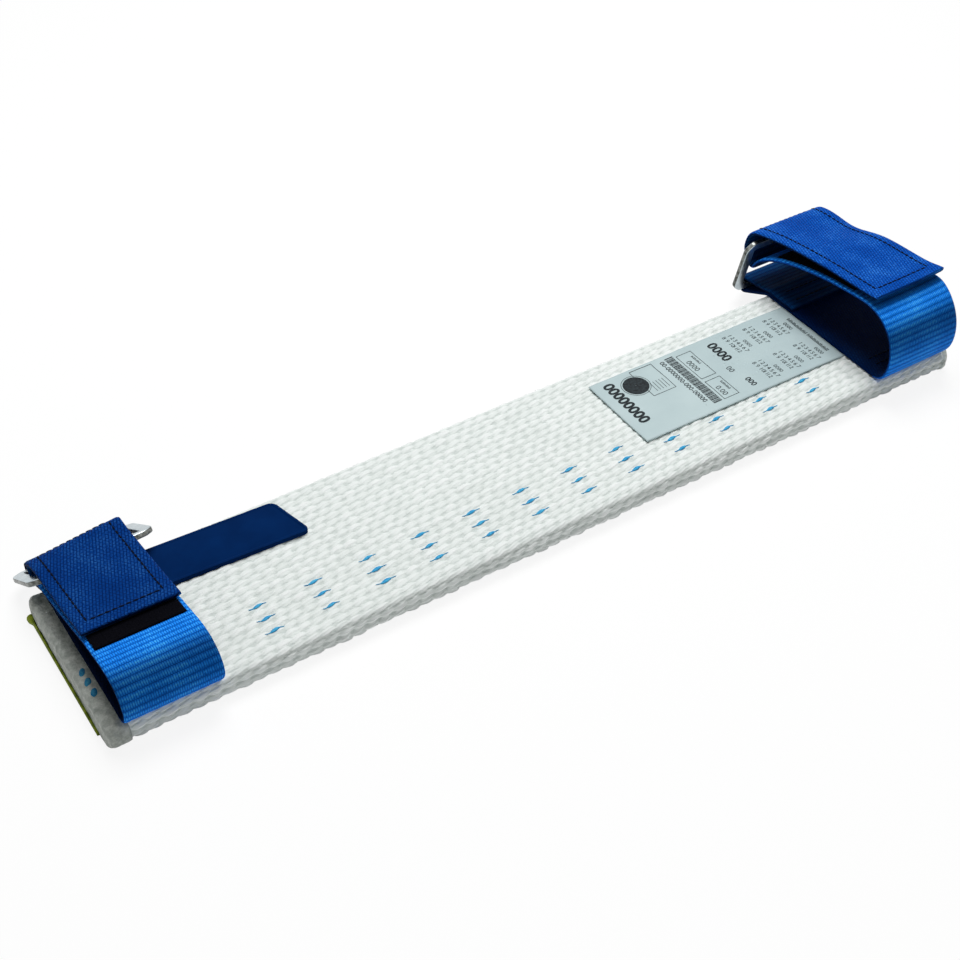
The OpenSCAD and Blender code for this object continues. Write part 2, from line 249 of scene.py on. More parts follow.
def plan(x):
    """How much narrower the pad is at x, as a share of its width, where its corners are rounded."""
    over = min(abs(x) - (PAD_L / 2 - PLAN_R), PLAN_R - 0.5)
    return 1 - (PLAN_R - math.sqrt(PLAN_R ** 2 - over ** 2)) / (PAD_W / 2) if over > 0 else 1.0


def girth_point(v):
    """Place and outward direction on the pad's cross-section, v mm round from the underside."""
    v = (v + GIRTH) % GIRTH
    edge = [(TURN, 1), (SIDE, 0), (TURN, 1)]
    runs = [(FLAT / 2, 0), *edge, (FLAT, 0), *edge, (FLAT / 2, 0)]
    y, z, heading = 0.0, 0.0, 0.0
    for size, turning in runs:
        step = min(v, size)
        if turning:
            swing = step / EDGE_R
            y += EDGE_R * (math.sin(heading + swing) - math.sin(heading))
            z += EDGE_R * (math.cos(heading) - math.cos(heading + swing))
            heading += swing
        else:
            y += step * math.cos(heading)
            z += step * math.sin(heading)
        v -= step
        if v <= 1e-9:
            break
    return y, z, math.sin(heading), -math.cos(heading)


print("girth of the pad:", round(GIRTH, 1), "mm")

# %% [markdown]
# ## Height of the weave
# Thick ribs run across the pad every 7.35 mm, and the yarn goes over them in rows about 4.5 mm
# wide, as slanting floats in the shape of a leaf. A little noise lets the rows wander. A texture
# could draw this, but one plain function gives the height at any place, and the pad's mesh, the
# marker yarns and the sealed ends all need it.

# %% Height of the weave
RIB, ROWS, LAG = 7.35, 48, 2.0
ROW = GIRTH / ROWS
# A float's half length in ribs, its half width in rows, and its slant in ribs a row.
LEAF_L, LEAF_W, LEAF_SLANT = 0.58, 0.54, 0.34
MARK_X = -162.5  # the first marker yarn, from which the ribs are counted


def weave(x, v):
    """0 in the grooves and 1 on top of the floats: the highest leaf-shaped float near here."""
    v += 0.6 * noise.noise(Vector((x * 0.05, v * 0.12, 1.3)))
    best = 0.0
    for row in range(math.floor(v / ROW) - 1, math.floor(v / ROW) + 2):
        across = v / ROW - row - 0.5
        lag = LAG if row % 2 else 0.0
        wander = 1.3 * noise.noise(Vector((x * 0.06, row * 3.7, 1.3)))
        along = (x - MARK_X - lag - wander) / RIB + LEAF_SLANT * across
        rib = round(along)
        along -= rib
        plump = 0.84 + 0.5 * noise.noise(Vector((rib * 1.31, row * 2.17, 0.5)))
        leaf = 1 - abs(along / LEAF_L) ** 1.8 - abs(across / LEAF_W) ** 2
        best = max(best, plump * max(0.0, leaf) ** 0.6)
    return min(1.0, best)


print("rows of yarn", round(ROW, 2), "mm wide")

# %% [markdown]
# ## The woven pad
# A flat slab with a bump map would keep straight edges, and the real pad has a scalloped outline,
# so the weave is pushed into the mesh. Each point sinks into the pad by its depth in the weave, and
# that depth is kept with it for the colour, which grows greyer deeper down as painted shade.

# %% The woven pad
WEAVE_DEPTH, COVERED = 1.1, 4.0  # how deep the weave goes, and what each seal covers of the pad


def pad_place(u, v):
    """A point of the pad's skin. The lower rim has the deepest scallops, the underside is flat."""
    x = u - (PAD_L / 2 - COVERED)
    y, z, out_y, out_z = girth_point(v)
    y *= plan(x)
    height = weave(x, v)
    under = max(0.0, -out_z) ** 6
    rim = abs(out_y) * (0.5 - 1.4 * out_z)
    sink = WEAVE_DEPTH * (1 - height) * (1 - 0.7 * under) * (1 + rim)
    ruffle = 0.12 * noise.noise(Vector((x, y, z)) * 0.9)
    return (x, y - out_y * sink, max(z - out_z * sink + ruffle * (1 - under), 0.0)), 1 - height


bm = strip(PAD_L - 2 * COVERED, GIRTH, 410, 240, pad_place, values=["depth"])
pad = keep("woven_pad", bm, pad_yarn)
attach(pad, "pad")
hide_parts("pad_webbing")
print("pad faces:", len(pad.data.polygons))

# %% [markdown]
# ## Sealing resin
# The cut ends are soaked in resin so that they can't fray. It sets grey, half clear and lumpy,
# with the weave showing through. A clear shader would need a second layer below it, so the paler
# yarn is mixed into the colour instead, and the gloss is left to the shader.

# %% Sealing resin
# The eye sees cloudy grey lumps with a faint shine, paler at the right end.
resin, tree, shader = material("sealing_resin", Roughness=0.6, IOR=1.5, Specular_IOR_Level=0.25,
                               Subsurface_Weight=0.12, Subsurface_Radius=(2 * MM, 2 * MM, 2 * MM))
where = add(tree, "ShaderNodeTexCoord").outputs["Object"]
lumps = add(tree, "ShaderNodeTexNoise", Vector=where, Scale=grain(3.846), Detail=5.0,
            Roughness=0.7).outputs["Fac"]
greys = {"stops": [(0.30, "#8b918b"), (0.46, "#a3a8a2"), (0.60, "#bcc0ba"), (0.74, "#d3d6d1")]}
tint = add(tree, "ShaderNodeValToRGB", greys, Fac=lumps).outputs["Color"]
place_x = add(tree, "ShaderNodeSeparateXYZ", Vector=where).outputs["X"]
pale = add(tree, "ShaderNodeMapRange", Value=place_x, From_Min=-0.1, From_Max=0.1,
           To_Min=1.0, To_Max=1.5).outputs[0]
tint = add(tree, "ShaderNodeVectorMath", {"operation": "SCALE"}, _0=tint, Scale=pale).outputs[0]
grit = add(tree, "ShaderNodeTexNoise", Vector=where, Scale=grain(1.111), Detail=3.0).outputs["Fac"]
bump = add(tree, "ShaderNodeBump", Strength=0.6, Distance=0.8 * MM, Height=grit).outputs["Normal"]
feed(tree, shader, Base_Color=tint, Normal=bump)
print("made", resin.name)

# %% [markdown]
# ## Sealed ends
# Each end is a cap: the pad's own cross-section, a little larger, that runs off the end, turns
# over a soft corner and closes in the middle of the end face. The same grid makes it, with its
# length going over the corner.

# %% Sealed ends
CAP_R, FOOT_R, SEAL_GAP = 3.4, 1.2, 0.3


def seal_place(side, reach, end_x):
    """The function that puts a seal's points in place, and the length of its strip."""
    corner = CAP_R * math.pi / 2
    flat = reach - CAP_R

    def put(u, v):
        y, z, out_y, out_z = girth_point(v)
        high = min(1.0, z / (PAD_T / 2))
        r = FOOT_R + (CAP_R - FOOT_R) * high * high * (3 - 2 * high)
        if u <= flat:
            x, inset = end_x - reach + u * (reach - r) / flat, 0.0
        elif u <= flat + corner:
            turn = (u - flat) / CAP_R
            x, inset = end_x - r + r * math.sin(turn), r * (1 - math.cos(turn))
        else:
            x, inset = end_x, r + (u - flat - corner) * (PAD_T / 2 - r) / (PAD_T / 2 - CAP_R)
        share = max(0.0, 1 - inset / (PAD_T / 2))
        middle = max(-(PAD_W - PAD_T) / 2, min((PAD_W - PAD_T) / 2, y))
        y = (middle + (y - middle) * share) * plan(x)
        z = PAD_T / 2 + (z - PAD_T / 2) * share
        lump = (0.7 * noise.noise(Vector((side * x, y, z)) * 0.23)
                + 0.4 * noise.noise(Vector((x, y, z)) * 0.6))
        rise = 0.25 + 0.25 * weave(side * x, v) + lump if u > 0.01 else -0.6
        rise *= 1 - max(0.0, -out_z)
        over = min(1.0, inset / r)
        point = (side * (x + (0.4 * lump - 0.6) * over), y + out_y * rise * (1 - over),
                 max(z + out_z * rise * (1 - over), 0.0))
        return (point,)
    return put, flat + corner + PAD_T / 2 - CAP_R


for name, side, soaked, end_x in (("left", -1, 11.5, PAD_L / 2),
                                  ("right", 1, 6.5, PAD_L / 2 + 1.4)):
    put, length = seal_place(side, soaked - SEAL_GAP, end_x)
    bm = strip(length, GIRTH, 22, 200, put)
    seal = keep(name + "_sealed_end", bm, resin)
    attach(seal, "pad")
    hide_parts(name + "_end_seal")
    print(seal.name, len(seal.data.polygons), "faces")

# %% [markdown]
# ## Straps: the line that the webbing follows
# Each strap is one length of webbing. It starts as a short return ply on the pad, goes over the
# back edge, round the ring's lower bar and back under itself, along the pad to the front, up round
# the front bend, back along the run, round the ring's upper bar and forward again as the flap.
# These are the sizes of the webbing, of the ring and of each strap's own lie.

# %% Sizes of the straps
STRAP_W, STRAP_T, TAPE_W, TAPE_T = 48.0, 2.2, 44.0, 1.1
BACK_Y, FRONT_Y = PAD_W / 2, -PAD_W / 2
FLAT_Y, BASE_Y, BASE_Z = BACK_Y - EDGE_R, FRONT_Y + 6.0, PAD_T + STRAP_T / 2
RING_T, RING_BAR, RING_END, RING_PITCH = 3.0, 5.0, 6.0, 33.0
FOLD_R = math.hypot(RING_BAR, RING_T) / 2 + 0.3
WRAP_R, EYE_R = FOLD_R + STRAP_T / 2, FOLD_R + STRAP_T
RETURN_L, STEPS = 20.0, 24

# In mm and degrees. x is the strap's place, loop its height, reach how far its bend passes the pad;
# out, lift and lean place the ring; slack is the room behind its bar; end and raise_end place
# the flap's tip; crest, dive, leave and tip are slopes of the line, and back, run, plunge and flap
# the lengths of its curves; pile and hook are the steps of run and flap that carry tape; hang gives
# three points of the loose fold, and turns how far below and above its middle two points are set.
SIDES = {
    "left": dict(x=-217.5, loop=22.5, reach=3.0, out=20.8, lift=2.5, lean=55, slack=8.8,
                 end=39.0, raise_end=-3.7, crest=-13, dive=-2, leave=6, tip=8,
                 back=22, run=24, plunge=16, flap=26, pile=(2, 18), hook=(8, 23)),
    "right": dict(x=221.0, loop=41.5, reach=3.5, out=17.0, lift=4.2, lean=13, slack=1.0,
                  end=14.0, raise_end=2.0, crest=-6, dive=-34, leave=17, tip=6,
                  back=25, run=28, plunge=20, flap=28, pile=(2, 17), hook=(9, 23),
                  hang=((-1.5, -13.3), (6.7, -2.8), (-1.0, 8.4)), turns=(13.0, -2.0)),
}
print("webbing", STRAP_W, "x", STRAP_T, "mm")

# %% [markdown]
# ## Lines of the straps
# The line could be drawn by hand as a curve object. It is worked out with the same arcs and Bezier
# curves as the CAD instead, as points of Y and Z, so that both agree. Only the right fold differs:
# in the photograph it hangs loose round the ring's bar, as a tall loop.

# %% Lines of the straps


def toward(degrees):
    return Vector((math.cos(math.radians(degrees)), math.sin(math.radians(degrees))))


def bezier(a, b, c, d, count=60):
    shares = [i / count for i in range(count + 1)]
    return [a * (1 - t) ** 3 + b * 3 * t * (1 - t) ** 2 + c * 3 * t * t * (1 - t) + d * t ** 3
            for t in shares]


def arc(middle, r, start, end, count=40):
    return [middle + r * toward(start + (end - start) * i / count) for i in range(count + 1)]


def strap_lines(s):
    """The middle lines of one strap's lengths, as points of Y and Z, and the ring's bar."""
    lower = Vector((BACK_Y + s["out"], EYE_R + s["lift"]))
    lean = math.radians(s["lean"])
    upper = lower + RING_PITCH * Vector((-math.sin(lean), math.cos(lean)))
    crest = Vector((FRONT_Y + s["back"], PAD_T + s["loop"] - STRAP_T / 2))
    base = Vector((BASE_Y, BASE_Z))
    y = (8 * (FRONT_Y - s["reach"] + STRAP_T / 2) - base.x - crest.x) / 6
    rise = crest.y + (y - crest.x) * math.tan(math.radians(s["crest"]))
    front = bezier(base, Vector((y, BASE_Z)), Vector((y, rise)), crest)
    middle = upper + s["slack"] * toward((s["dive"] - s["leave"]) / 2)
    if "hang" in s:
        meet, rear, top = (middle + Vector(step) for step in s["hang"])
        dive, climb, leave = toward(-62), toward(97), toward(180 - s["leave"])
        fold = bezier(meet, meet + 4.5 * dive, rear - 6 * climb, rear, 24)
        fold += bezier(rear, rear + 6 * climb, top - 4.5 * leave, top, 24)[1:]
    else:
        dive = toward(s["dive"])
        fold = arc(middle, WRAP_R, s["dive"] - 90, 90 - s["leave"])
    run = bezier(crest, crest + s["run"] * toward(s["crest"]),
                 fold[0] - s["plunge"] * dive, fold[0])
    tip_z = PAD_T + s["loop"] + 2 * TAPE_T + 0.3 + STRAP_T / 2 + s["raise_end"]
    tip = Vector((FRONT_Y + s["end"], tip_z))
    flap = bezier(fold[-1], fold[-1] + s["flap"] * toward(180 - s["leave"]),
                  tip + s["flap"] * toward(-s["tip"]), tip)
    edge = Vector((FLAT_Y, PAD_T - EDGE_R))
    edge_r = EDGE_R + STRAP_T / 2
    span = lower - edge
    droop = math.degrees(math.atan2(span.y, span.x) - math.asin((edge_r + WRAP_R) / span.length))
    under = arc(edge, edge_r, 90 + droop, 90)
    over_r = edge_r + STRAP_T
    throat = edge + over_r * toward(90 + droop)
    drop = lower - throat
    slope = math.degrees(math.atan2(drop.y, drop.x))
    tangent = slope + 180 - math.degrees(math.acos(WRAP_R / drop.length))
    over = arc(edge, over_r, 90, 90 + droop)
    eye = arc(lower, WRAP_R, tangent, droop - 90)
    start = Vector((FLAT_Y - RETURN_L, BASE_Z + STRAP_T))
    keeper = [start] + over + eye + under + [base]
    return dict(lower=lower, middle=middle, keeper=keeper, front=front, run=run, fold=fold,
                flap=flap)


for s in SIDES.values():
    s.update(strap_lines(s))
print("folds about:", [tuple(round(c, 1) for c in s["middle"]) for s in SIDES.values()])

# %% [markdown]
# ## Strap webbing
# Polyester webbing in royal blue. Ribs of weft cross its face every 3.2 mm, and the warp yarns that
# cover them go over in turn, so the light breaks into rows of short dashes. A brick pattern has
# just that stagger. The reverse is a fine twill, and it is what the flaps show. The dashes, 1.1 mm
# wide, are drawn coarser than the real yarns so that they show. Filament yarn shines where it faces
# the light, but a true gloss would mirror the white studio and wash out the blue. So the shine is
# painted: a number on the mesh scales the colour. The same number paints shade on every side
# that is not outside, such as the inside of the loops, which it leaves dark.

# %% Strap webbing
RIB_PITCH, DASH_W, TWILL_L, TWILL_W = 3.2, 1.1, 2.6, 1.5
# The eye sees deep blue that lights up in rows of dashes.
webbing, tree, shader = material("polyester_webbing", Roughness=0.5, Specular_IOR_Level=0.01)
coordinates = add(tree, "ShaderNodeUVMap", {"uv_map": "weave"}).outputs["UV"]
parts = add(tree, "ShaderNodeSeparateXYZ", Vector=coordinates).outputs
turned = add(tree, "ShaderNodeCombineXYZ", X=parts["Y"], Y=parts["X"]).outputs[0]
stagger = {"offset": 0.5, "offset_frequency": 2}
gaps = add(tree, "ShaderNodeTexBrick", stagger, Vector=turned, Scale=1.0, Mortar_Size=0.26 * MM,
           Mortar_Smooth=1.0, Brick_Width=DASH_W * MM, Row_Height=RIB_PITCH * MM).outputs["Fac"]
dots = add(tree, "ShaderNodeMath", {"operation": "SUBTRACT"}, _0=1.0, _1=gaps).outputs[0]
rows = add(tree, "ShaderNodeTexWave", Vector=coordinates, Scale=WAVE * grain(RIB_PITCH),
           Distortion=0.0).outputs["Fac"]
slanted = add(tree, "ShaderNodeMapping", Vector=coordinates, Rotation=(0, 0, -0.38)).outputs[0]
twill = add(tree, "ShaderNodeTexBrick", stagger, Vector=slanted, Scale=1.0, Mortar_Size=0.3 * MM,
            Mortar_Smooth=1.0, Brick_Width=TWILL_L * MM, Row_Height=TWILL_W * MM).outputs["Fac"]
patch = add(tree, "ShaderNodeTexNoise", Vector=coordinates, Scale=grain(16.67),
            Detail=3.0).outputs["Fac"]
fleck = add(tree, "ShaderNodeTexNoise", Vector=coordinates, Scale=grain(1.111),
            Detail=1.0).outputs["Fac"]
blotch = add(tree, "ShaderNodeMath", {"operation": "ADD"}, _0=patch, _1=fleck).outputs[0]
worn = add(tree, "ShaderNodeMapRange", Value=blotch, From_Min=0.6, From_Max=1.4,
           To_Min=-0.22, To_Max=0.22).outputs[0]
dashes = add(tree, "ShaderNodeMath", weigh, _0=dots, _1=0.5, _2=worn).outputs[0]
face = add(tree, "ShaderNodeMath", weigh, _0=rows, _1=0.3, _2=dashes).outputs[0]
rear = add(tree, "ShaderNodeMath", weigh, _0=twill, _1=-0.6, _2=worn).outputs[0]
rear = add(tree, "ShaderNodeMath", {"operation": "ADD"}, _0=rear, _1=0.65).outputs[0]
blues = {"stops": [(0.0, "#0752ab"), (0.40, "#106bd3"), (0.70, "#228eff"), (0.95, "#4cb8ff")]}
deep = {"stops": [(0.0, "#03286a"), (0.35, "#063b8e"), (0.65, "#0d50b0"), (0.95, "#3c87de")]}
outer = add(tree, "ShaderNodeValToRGB", blues, Fac=face).outputs["Color"]
inner = add(tree, "ShaderNodeValToRGB", deep, Fac=rear).outputs["Color"]
# Painted sheen: the reverse that the flaps show is darker on the left strap, paler on the right.
where = add(tree, "ShaderNodeTexCoord").outputs["Object"]
spot = add(tree, "ShaderNodeSeparateXYZ", Vector=where).outputs["X"]
painted_flap_sheen = add(tree, "ShaderNodeMapRange", Value=spot, From_Min=-0.1, From_Max=0.1,
           To_Min=0.52, To_Max=1.1).outputs[0]
inner = add(tree, "ShaderNodeVectorMath", {"operation": "SCALE"}, _0=inner, Scale=painted_flap_sheen).outputs[0]
# The UV map goes round the face first, so past half its girth it is on the reverse.
reverse = add(tree, "ShaderNodeMath", {"operation": "GREATER_THAN"},
              _0=parts["Y"], _1=(STRAP_W + STRAP_T / 2) * MM).outputs[0]
tint = add(tree, "ShaderNodeMix", {"data_type": "RGBA"}, _0=reverse, _6=outer, _7=inner).outputs[2]
# Painted light from the mesh: sheen where the webbing faces the lamp, shade inside the loops.
faded = add(tree, "ShaderNodeAttribute", {"attribute_name": "faded"}).outputs["Fac"]
painted_light_scale = add(tree, "ShaderNodeMapRange", Value=faded, To_Min=0.15, To_Max=1.0).outputs[0]
tint = add(tree, "ShaderNodeVectorMath", {"operation": "SCALE"}, _0=tint, Scale=painted_light_scale).outputs[0]
relief = add(tree, "ShaderNodeMix", {"data_type": "FLOAT"}, _0=reverse, _2=face, _3=rear)
bump = add(tree, "ShaderNodeBump", Strength=0.7, Distance=0.4 * MM,
           Height=relief.outputs[0]).outputs["Normal"]
feed(tree, shader, Base_Color=tint, Normal=bump)
print("made", webbing.name)

# %% [markdown]
# ## Places along a line
# A rib or a stitch sits so many millimetres along its strap. So a line is measured first, and a
# place on it is then looked up, with the way that the line heads there.

# %% Places along a line


def measured(line):
    """A line as stations: the length so far and the point."""
    total, stations = 0.0, [(0.0, line[0])]
    for a, b in zip(line, line[1:]):
        total += (b - a).length
        stations.append((total, b))
    return stations


def on_line(stations, u):
    """The point and the heading of a line u mm along it."""
    low, high = 0, len(stations) - 1
    while high - low > 1:
        middle = (low + high) // 2
        low, high = (middle, high) if stations[middle][0] <= u else (low, middle)
    (s0, a), (s1, b) = stations[low], stations[high]
    before, after = stations[max(low - 1, 0)][1], stations[min(high + 1, len(stations) - 1)][1]
    share = (u - s0) / max(s1 - s0, 1e-9)
    heading = ((b - before).normalized().lerp((after - a).normalized(), share)).normalized()
    return a.lerp(b, share), heading


print("left run:", round(measured(SIDES["left"]["run"])[-1][0], 1), "mm")

# %% [markdown]
# ## How the webbing lies
# Cut across, webbing is flat with soft edges. A loose strap is never quite straight either: it is
# skewed, twisted or dented by the hand that closed it. Each place on a strap gets a small shift
# for that, and the lines themselves stay simple.

# %% Section and lie of the webbing
LEFT_YAW = math.radians(3.5)


def section(v, width, thick, round_r):
    """Place across and out of the middle of a flat section with round edges, v mm round it."""
    half, top_l, edge_l = width / 2, width, thick
    if v <= top_l:
        across, out = -half + v, 1.0
    elif v <= top_l + edge_l:
        across, out = half, 1 - 2 * (v - top_l) / edge_l
    elif v <= 2 * top_l + edge_l:
        across, out = half - (v - top_l - edge_l), -1.0
    else:
        across, out = -half, -1 + 2 * (v - 2 * top_l - edge_l) / edge_l
    near = min(1.0, (half - abs(across)) / round_r)
    return across, out * thick / 2 * (1 - 0.45 * (1 - near) ** 2)


def ramp_up(y, start, end):
    """0 up to the start, 1 from the end on, and even in between."""
    return min(1.0, max(0.0, (y - start) / (end - start)))


def settle(side, across, y, top):
    """How far a loose strap lies off its line here, in mm along X, Y and Z.

    The left flap is skewed, and its end by the ring is turned and twisted. The outer edge of the
    right flap dips behind its middle and flares at the tip.
    """
    share = across / STRAP_W
    if side == "left":
        behind = ramp_up(y, 40, 57) if top else ramp_up(y, 50, 62)
        yaw = across * math.tan(LEFT_YAW) * behind
        if top:
            return -2.7 * ramp_up(y, -10, 57), yaw, 4.8 * share * behind ** 2
        return 0.0, yaw, 0.0
    if not top:
        return 0.0, 0.0, 0.0
    outer = min(1.0, max(0.0, share + 0.5))
    dip = -4.4 * outer ** 2 * math.exp(-((y - 33) / 17) ** 2)
    flare = 1.6 * outer ** 3 * math.exp(-((y + 36) / 9) ** 2)
    return -2.4 * (1 - outer) * ramp_up(y, 0, 65), 0.0, dip + flare


print("left strap turned by", round(math.degrees(LEFT_YAW), 1), "degrees at its ring")

# %% [markdown]
# ## Bands
# A band is a strip with that section, bent along a line. Its ribs are real mesh, because they show
# at the bends. Where its face is on the outside, a painted sheen is stored as well: bright where
# the webbing faces the lamp, dull where it turns down, and paler again on the steep part of the
# bend. Every other side gets painted shade.

# %% Bands along a line
RIB_H, EDGE_ROUND = 0.08, 1.6
# Painted sheen: the tilt of the line, in degrees, up to which a strap shines, and between which
# it grows pale again.
SHEEN, SHEEN_WIDTH = {"left": (-10, 30, 120), "right": (35, 60, 92)}, 17


def band(side, line, width, thick, start, exposed=0, shift=0.0, ribs=True, top=True, pitch=0.4,
         cells=104):
    """A strip along a line. exposed is 1 if its face is outside, -1 if its reverse is, else 0."""
    stations = measured(line)
    length = stations[-1][0]
    middle_x = SIDES[side]["x"]

    def put(u, v):
        point, heading = on_line(stations, u)
        across, out = section(v, width, thick, EDGE_ROUND)
        # Painted light: sheen on the outer side, painted shade (0) on every other side.
        faded = 1.0 if out * exposed > 0 else 0.0
        if faded and exposed == 1:
            tilt = math.degrees(math.atan2(heading.y, heading.x))
            shines_to, *paler = SHEEN[side]
            glow = math.exp(-(max(0.0, tilt - shines_to) / SHEEN_WIDTH) ** 2)
            faded = min(1.0, 0.2 + 0.8 * glow + 0.71 * ramp_up(tilt, *paler))
        if ribs and abs(out) > 0.3 * thick:
            rib = abs(math.sin(math.pi * (start + u) / RIB_PITCH)) - 0.6
            out += math.copysign(RIB_H * rib, out)
        spot = point + (out + shift) * Vector((-heading.y, heading.x))
        dx, dy, dz = settle(side, across, point.x, top)
        return (middle_x + across + dx, spot.x + dy, spot.y + dz), faded
    steps = max(2, round(length / pitch))
    bm = strip(length, 2 * (width + thick), steps, cells, put, start, ["faded"])
    return bm, start + length


print("ribs", RIB_H, "mm high every", RIB_PITCH, "mm")

# %% [markdown]
# ## The four lengths of each strap
# Where a strap crosses a joint it has to bend, and a piece can bend between two bodies only. So the
# strap is made in four lengths that meet edge to edge: the base with the ring's keeper, the low
# front bend, the run with the rest of the bend, and the fold with the flap. The base is attached to
# the pad, and the other three stay where they are made. Two points round the middle of the fold are
# worked out and kept with the strap's sizes. Their UV maps go on from one to the next.

# %% Strap lengths
for side, s in SIDES.items():
    half = len(s["front"]) // 2
    bm, at = band(side, s["keeper"], STRAP_W, STRAP_T, 0.0, top=False, pitch=0.7, cells=64)
    base = keep(side + "_strap_base", bm, webbing)
    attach(base, "pad")
    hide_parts(side + "_base_strap", side + "_ring_keeper")
    bm, at = band(side, s["front"][:half + 1], STRAP_W, STRAP_T, at, 1)
    low = keep(side + "_strap_front", bm, webbing)
    bm, at = band(side, s["front"][half:] + s["run"][1:], STRAP_W, STRAP_T, at, 1)
    run = keep(side + "_strap_run", bm, webbing)
    bm, at = band(side, s["fold"] + s["flap"][1:], STRAP_W, STRAP_T, at, -1)
    flap = keep(side + "_strap_flap", bm, webbing)
    x = s["x"]
    spot = [Vector((x, p.x, p.y)) * MM for p in (s["front"][0], s["front"][half], s["front"][-1])]
    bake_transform(low)
    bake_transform(run)
    centre = Vector((x, s["middle"].x, s["middle"].y)) * MM
    turns = s.get("turns", (0.9 * FOLD_R, 0.9 * FOLD_R))
    sag, rise = (Vector((0, 0, z)) * MM for z in turns)
    s["bend"] = (side + "_run", side + "_flap", centre - sag, centre + rise)
    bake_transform(flap)
    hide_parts(side + "_front_bend")
    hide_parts(side + "_upper_run", side + "_fold")
    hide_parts(side + "_flap")
    print(side, "strap", round(at), "mm of webbing")

# %% [markdown]
# ## Hook-and-loop tape
# A black tape of loops is sewn on the run and a tape of hooks under the flap. Both look nearly
# black and dull, with a short nap that catches a little light at its edges, so the bump is fine
# noise and the gloss is low. Real loops are finer, and are drawn 0.7 mm wide so that they show.
# Many of the surfaces from here on are one colour that varies in spots, so a function makes it.

# %% Hook-and-loop tape


def mottled(name, size, detail, *stops, **surface):
    """A material whose colour varies in spots so many millimetres wide, and the spots."""
    made, tree, shader = material(name, **surface)
    where = add(tree, "ShaderNodeTexCoord").outputs["Object"]
    spots = add(tree, "ShaderNodeTexNoise", Vector=where, Scale=grain(size), Detail=detail)
    tint = add(tree, "ShaderNodeValToRGB", {"stops": stops}, Fac=spots.outputs["Fac"])
    feed(tree, shader, Base_Color=tint.outputs["Color"])
    return made, tree, shader, spots.outputs["Fac"]


# The eye sees a dull, near-black nap.
pile, tree, shader, loops = mottled("hook_and_loop_tape", 0.667, 3, (0.35, "#020205"),
                                    (0.65, "#0a0a10"), Roughness=0.95, Specular_IOR_Level=0.03)
nap = add(tree, "ShaderNodeBump", Strength=0.8, Distance=0.6 * MM, Height=loops).outputs["Normal"]
feed(tree, shader, Normal=nap)
print("made", pile.name)

# %% [markdown]
# ## Tapes on the straps
# A tape is a narrower band on the line of its strap, moved out by half of both thicknesses. The
# pile is attached to the body of the run and the hooks to the body of the flap.

# %% Tapes on the straps
for side, s in SIDES.items():
    for kind, line, body in (("pile", s["run"], "_run"), ("hook", s["flap"], "_flap")):
        first, last = (round(step / STEPS * (len(line) - 1)) for step in s[kind])
        bm, _ = band(side, line[first:last + 1], TAPE_W, TAPE_T, 0.0,
                     shift=(STRAP_T + TAPE_T) / 2, ribs=False, pitch=0.8, cells=60)
        tape = keep(f"{side}_{kind}_tape_nap", bm, pile)
        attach(tape, side + body)
        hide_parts(f"{side}_{kind}_tape")
        print(tape.name, len(tape.data.polygons), "faces")

# %% [markdown]
# ## Stitches
# Dark thread holds the hook tape under each flap and the strap on the pad. A drawn line would
# look printed on, so each stitch is a small rounded bead of thread that lies half in the webbing.
# A bead is a low sphere, stretched along the seam.

# %% Sewing thread
# The eye sees dark, dull navy, with a twist that only breaks up the colour.
thread = mottled("navy_sewing_thread", 0.4, 2, (0.35, "#000512"), (0.7, "#030e2a"),
                 Roughness=0.7, Specular_IOR_Level=0.05)[0]
STITCH_L, STITCH_PITCH, THREAD, PROUD = 3.38, 3.4, 1.05, 0.05


def sew(bm, spot, along, out):
    """One stitch: its spot in mm, the way along the seam and the way out of the webbing."""
    along, out = along.normalized(), out.normalized()
    lie = Matrix((along, out.cross(along), out)).transposed().to_4x4()
    size = Matrix.Diagonal((STITCH_L / 2, THREAD / 2, THREAD / 2.4, 1))
    stand = Matrix.Diagonal((MM, MM, MM, 1)) @ Matrix.Translation(spot) @ lie @ size
    bmesh.ops.create_uvsphere(bm, u_segments=6, v_segments=5, radius=1.0,
                              matrix=stand @ Matrix.Rotation(math.pi / 2, 4, "Y"))


print("stitches every", STITCH_PITCH, "mm")

# %% [markdown]
# ## Seams
# The seam of a flap goes round the hook tape below it, along the flap's line. Four rows go
# across the base, two through both plies at the back and two near the front, and stay on the pad.

# %% Seams
SEAM, TIP_SEAM = 5.6, 6.5
HALF_SEAM = STRAP_W / 2 - SEAM
wide = int(2 * HALF_SEAM / STITCH_PITCH)
row_x = [(i - (wide - 1) / 2) * STITCH_PITCH for i in range(wide)]
base_rows = [(FLAT_Y - RETURN_L + SEAM, 2), (FLAT_Y - SEAM, 2),
             (BASE_Y + SEAM, 1), (BASE_Y + 2 * SEAM, 1)]


def flap_spot(side, stations, u, across):
    """A spot on top of a flap, with the way along it and the way out of it."""
    point, heading = on_line(stations, u)
    out = Vector((heading.y, -heading.x))
    top = point + (STRAP_T / 2 + PROUD) * out
    spot = Vector((SIDES[side]["x"] + across, *top)) + Vector(settle(side, across, point.x, True))
    return spot, Vector((0, heading.x, heading.y)), Vector((0, out.x, out.y))


